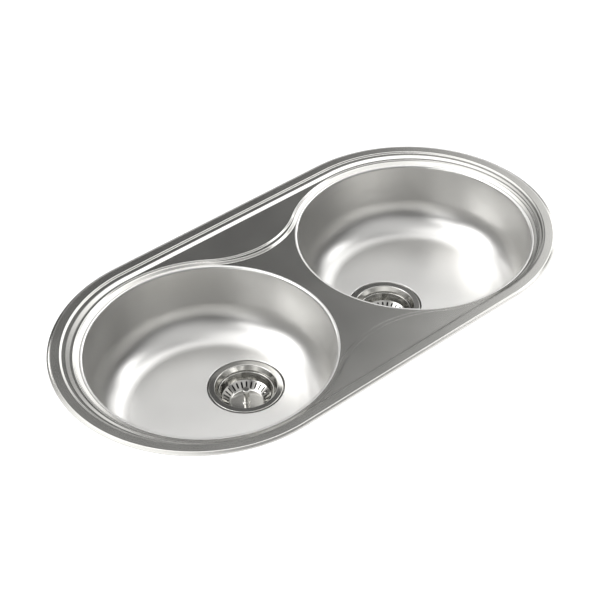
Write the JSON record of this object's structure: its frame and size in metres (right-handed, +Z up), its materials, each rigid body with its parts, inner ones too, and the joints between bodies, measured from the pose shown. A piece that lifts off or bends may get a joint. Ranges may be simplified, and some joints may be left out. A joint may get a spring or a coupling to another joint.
{
  "type": "double bowl kitchen sink",
  "caption": "Inset stainless steel kitchen sink with round ends, round bowls, lift-out basket strainers and worktop clamps.",
  "frame": {"origin": "centre of the rim's outline, at the top of the worktop that the rim's seal rests on", "axes": "+X along the sink to the right as seen from the front, +Y to the rear, +Z up"},
  "size_m": [0.84, 0.44, 0.203],
  "materials": {
    "deck_steel": "smooth satin",
    "bowl_steel": "satin",
    "polished_steel": "polished",
    "plated_steel": "zinc plated",
    "black_rubber": "matt",
    "seal_foam": "foam",
    "grey_plastic": "moulded",
    "brass": "turned",
    "sound_pad": "bitumen felt"
  },
  "bodies": {
    "sink": {"deck": "deck_steel", "rim_seal": "seal_foam", "left_bowl": "bowl_steel", "left_sound_pad": "sound_pad", "left_strainer_cup": "polished_steel", "left_flange_seal": "seal_foam", "left_body_gasket": "black_rubber", "left_waste_body": "grey_plastic", "left_screw_insert": "brass", "left_strainer_screw": "polished_steel", "right_bowl": "bowl_steel", "right_sound_pad": "sound_pad", "right_strainer_cup": "polished_steel", "right_flange_seal": "seal_foam", "right_body_gasket": "black_rubber", "right_waste_body": "grey_plastic", "right_screw_insert": "brass", "right_strainer_screw": "polished_steel", "clamp_brackets": "plated_steel", "clamp_nuts": "plated_steel"},
    "left_strainer": {"left_basket": "polished_steel", "left_post": "polished_steel", "left_retainer": "polished_steel"},
    "left_plug": {"left_stopper": "black_rubber"},
    "right_strainer": {"right_basket": "polished_steel", "right_post": "polished_steel", "right_retainer": "polished_steel"},
    "right_plug": {"right_stopper": "black_rubber"},
    "clamp_1": {"clamp_screw_1": "plated_steel"},
    "claw_1": {"clamp_claw_1": "plated_steel"},
    "clamp_2": {"clamp_screw_2": "plated_steel"},
    "claw_2": {"clamp_claw_2": "plated_steel"},
    "clamp_3": {"clamp_screw_3": "plated_steel"},
    "claw_3": {"clamp_claw_3": "plated_steel"},
    "clamp_4": {"clamp_screw_4": "plated_steel"},
    "claw_4": {"clamp_claw_4": "plated_steel"},
    "clamp_5": {"clamp_screw_5": "plated_steel"},
    "claw_5": {"clamp_claw_5": "plated_steel"},
    "clamp_6": {"clamp_screw_6": "plated_steel"},
    "claw_6": {"clamp_claw_6": "plated_steel"},
    "clamp_7": {"clamp_screw_7": "plated_steel"},
    "claw_7": {"clamp_claw_7": "plated_steel"},
    "clamp_8": {"clamp_screw_8": "plated_steel"},
    "claw_8": {"clamp_claw_8": "plated_steel"}
  },
  "joints": [
    {"name": "left_basket_lift", "type": "slide", "parent": "sink", "child": "left_plug", "axis": [0, 0, 1], "range_m": [0, 0.17]},
    {"name": "left_basket_turn", "type": "hinge", "parent": "left_plug", "child": "left_strainer", "pos_m": [-0.139, -0.0085, -0.147], "axis": [0, 0, 1], "continuous": true},
    {"name": "right_basket_lift", "type": "slide", "parent": "sink", "child": "right_plug", "axis": [0, 0, 1], "range_m": [0, 0.17]},
    {"name": "right_basket_turn", "type": "hinge", "parent": "right_plug", "child": "right_strainer", "pos_m": [0.139, -0.0085, -0.147], "axis": [0, 0, 1], "continuous": true},
    {"name": "clamp_1_rise", "type": "slide", "parent": "sink", "child": "clamp_1", "axis": [0, 0, 1], "range_m": [0, 0.017]},
    {"name": "claw_1_swing", "type": "hinge", "parent": "clamp_1", "child": "claw_1", "pos_m": [-0.105, 0.196, -0.0522], "axis": [0, 0, -1], "range_deg": [0, 90]},
    {"name": "clamp_2_rise", "type": "slide", "parent": "sink", "child": "clamp_2", "axis": [0, 0, 1], "range_m": [0, 0.017]},
    {"name": "claw_2_swing", "type": "hinge", "parent": "clamp_2", "child": "claw_2", "pos_m": [0.105, 0.196, -0.0522], "axis": [0, 0, -1], "range_deg": [0, 90]},
    {"name": "clamp_3_rise", "type": "slide", "parent": "sink", "child": "clamp_3", "axis": [0, 0, 1], "range_m": [0, 0.017]},
    {"name": "claw_3_swing", "type": "hinge", "parent": "clamp_3", "child": "claw_3", "pos_m": [-0.105, -0.196, -0.0522], "axis": [0, 0, -1], "range_deg": [0, 90]},
    {"name": "clamp_4_rise", "type": "slide", "parent": "sink", "child": "clamp_4", "axis": [0, 0, 1], "range_m": [0, 0.017]},
    {"name": "claw_4_swing", "type": "hinge", "parent": "clamp_4", "child": "claw_4", "pos_m": [0.105, -0.196, -0.0522], "axis": [0, 0, -1], "range_deg": [0, 90]},
    {"name": "clamp_5_rise", "type": "slide", "parent": "sink", "child": "clamp_5", "axis": [0, 0, 1], "range_m": [0, 0.017]},
    {"name": "claw_5_swing", "type": "hinge", "parent": "clamp_5", "child": "claw_5", "pos_m": [0.33859, 0.13859, -0.0522], "axis": [0, 0, -1], "range_deg": [0, 90]},
    {"name": "clamp_6_rise", "type": "slide", "parent": "sink", "child": "clamp_6", "axis": [0, 0, 1], "range_m": [0, 0.017]},
    {"name": "claw_6_swing", "type": "hinge", "parent": "clamp_6", "child": "claw_6", "pos_m": [0.33859, -0.13859, -0.0522], "axis": [0, 0, -1], "range_deg": [0, 90]},
    {"name": "clamp_7_rise", "type": "slide", "parent": "sink", "child": "clamp_7", "axis": [0, 0, 1], "range_m": [0, 0.017]},
    {"name": "claw_7_swing", "type": "hinge", "parent": "clamp_7", "child": "claw_7", "pos_m": [-0.33859, 0.13859, -0.0522], "axis": [0, 0, -1], "range_deg": [0, 90]},
    {"name": "clamp_8_rise", "type": "slide", "parent": "sink", "child": "clamp_8", "axis": [0, 0, 1], "range_m": [0, 0.017]},
    {"name": "claw_8_swing", "type": "hinge", "parent": "clamp_8", "child": "claw_8", "pos_m": [-0.33859, -0.13859, -0.0522], "axis": [0, 0, -1], "range_deg": [0, 90]}
  ]
}
